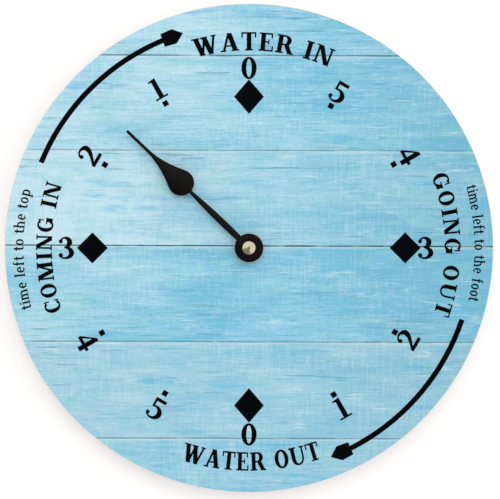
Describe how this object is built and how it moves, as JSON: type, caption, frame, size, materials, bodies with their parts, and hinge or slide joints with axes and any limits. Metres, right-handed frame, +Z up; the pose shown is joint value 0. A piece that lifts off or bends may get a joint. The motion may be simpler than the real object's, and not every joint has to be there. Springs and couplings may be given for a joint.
{
  "type": "tide clock",
  "caption": "Round flat wall tide clock: printed board, one black spade hand that turns once in each tide cycle, battery movement with its gear train behind.",
  "frame": {"origin": "on the hand's axis, in the plane of the wall, which is the rear face of the movement case", "axes": "+Z up, the dial faces -Y, +Y points into the wall, +X to the right of the viewer"},
  "size_m": [0.2666, 0.0347, 0.2666],
  "materials": {
    "board": "fine fibreboard, white satin paint",
    "printed_face": "matt print of pale blue painted planks",
    "ink": "matt black print",
    "case": "black moulded plastic, fine texture",
    "turned_brass": "turned",
    "washer_rubber": "matt",
    "hand": "satin black paint on sheet metal",
    "cap_nut": "pale polished turned brass",
    "wheel_plastic": "natural acetal",
    "arbor_steel": "turned",
    "knob": "pale moulded plastic",
    "plate_plastic": "dark moulded plastic",
    "magnet": "dark sintered magnet",
    "soft_iron": "stamped",
    "bobbin": "natural nylon",
    "enamelled_wire": "enamelled copper",
    "circuit_board": "green laminate",
    "chip_cover": "black resin",
    "crystal_can": "plain",
    "contact_metal": "nickel plated spring steel",
    "battery": "plain sleeve, no print"
  },
  "bodies": {
    "dial_and_movement": {"dial_board": "board", "printed_face": "printed_face", "dial_numerals": "ink", "dial_diamonds": "ink", "dial_squares": "ink", "tide_arrows": "ink", "movement_case": "case", "hanging_tab": "case", "front_cover": "case", "threaded_bush": "turned_brass", "rubber_washer": "washer_rubber", "brass_washer": "turned_brass", "hex_nut": "turned_brass", "train_plate": "plate_plastic", "stator": "soft_iron", "coil_core": "soft_iron", "coil_bobbin": "bobbin", "coil_winding": "enamelled_wire", "circuit_board": "circuit_board", "driver_chip": "chip_cover", "crystal_can": "crystal_can", "battery_contact_positive": "contact_metal", "battery_contact_negative": "contact_metal"},
    "hand_and_hour_wheel": {"hour_wheel": "wheel_plastic", "tide_hand": "hand", "hand_bush": "hand"},
    "minute_arbor_and_nut": {"minute_arbor": "arbor_steel", "cap_nut": "cap_nut"},
    "minute_wheel": {"minute_wheel": "wheel_plastic"},
    "set_knob": {"set_knob": "knob"},
    "centre_wheel": {"centre_wheel": "wheel_plastic"},
    "third_wheel": {"third_wheel": "wheel_plastic"},
    "seconds_wheel": {"seconds_wheel": "wheel_plastic"},
    "fifth_wheel": {"fifth_wheel": "wheel_plastic"},
    "rotor": {"rotor_pinion": "wheel_plastic", "rotor_magnet": "magnet"},
    "battery": {"battery": "battery"}
  },
  "joints": [
    {"name": "tide_hand_turn", "type": "hinge", "parent": "dial_and_movement", "child": "hand_and_hour_wheel", "pos_m": [0, 0, 0], "axis": [0, 1, 0], "continuous": true},
    {"name": "minute_arbor_turn", "type": "hinge", "parent": "dial_and_movement", "child": "minute_arbor_and_nut", "pos_m": [0, 0, 0], "axis": [0, 1, 0], "continuous": true},
    {"name": "minute_wheel_turn", "type": "hinge", "parent": "dial_and_movement", "child": "minute_wheel", "pos_m": [0.01176, 0, 0], "axis": [0, 1, 0], "continuous": true},
    {"name": "set_knob_turn", "type": "hinge", "parent": "dial_and_movement", "child": "set_knob", "pos_m": [0.02214, 0, -0.00552], "axis": [0, 1, 0], "continuous": true},
    {"name": "seconds_wheel_turn", "type": "hinge", "parent": "dial_and_movement", "child": "seconds_wheel", "pos_m": [0, 0, 0], "axis": [0, 1, 0], "continuous": true},
    {"name": "fifth_wheel_turn", "type": "hinge", "parent": "dial_and_movement", "child": "fifth_wheel", "pos_m": [0.00525, 0, 0.00909], "axis": [0, 1, 0], "continuous": true},
    {"name": "rotor_turn", "type": "hinge", "parent": "dial_and_movement", "child": "rotor", "pos_m": [0.01304, 0, 0.01359], "axis": [0, 1, 0], "continuous": true},
    {"name": "third_wheel_turn", "type": "hinge", "parent": "dial_and_movement", "child": "third_wheel", "pos_m": [-0.00721, 0, 0.00721], "axis": [0, 1, 0], "continuous": true},
    {"name": "centre_wheel_turn", "type": "hinge", "parent": "dial_and_movement", "child": "centre_wheel", "pos_m": [0, 0, 0], "axis": [0, 1, 0], "continuous": true},
    {"name": "battery_lift", "type": "slide", "parent": "dial_and_movement", "child": "battery", "axis": [0, 1, 0], "range_m": [0, 0.018]}
  ],
  "couplings": [
    {"joint": "minute_arbor_turn", "follows": "tide_hand_turn", "ratio": 12},
    {"joint": "minute_wheel_turn", "follows": "tide_hand_turn", "ratio": -4},
    {"joint": "set_knob_turn", "follows": "tide_hand_turn", "ratio": 12},
    {"joint": "fifth_wheel_turn", "follows": "seconds_wheel_turn", "ratio": -6},
    {"joint": "rotor_turn", "follows": "seconds_wheel_turn", "ratio": 30},
    {"joint": "third_wheel_turn", "follows": "seconds_wheel_turn", "ratio": -0.13333},
    {"joint": "centre_wheel_turn", "follows": "seconds_wheel_turn", "ratio": 0.016667}
  ]
}
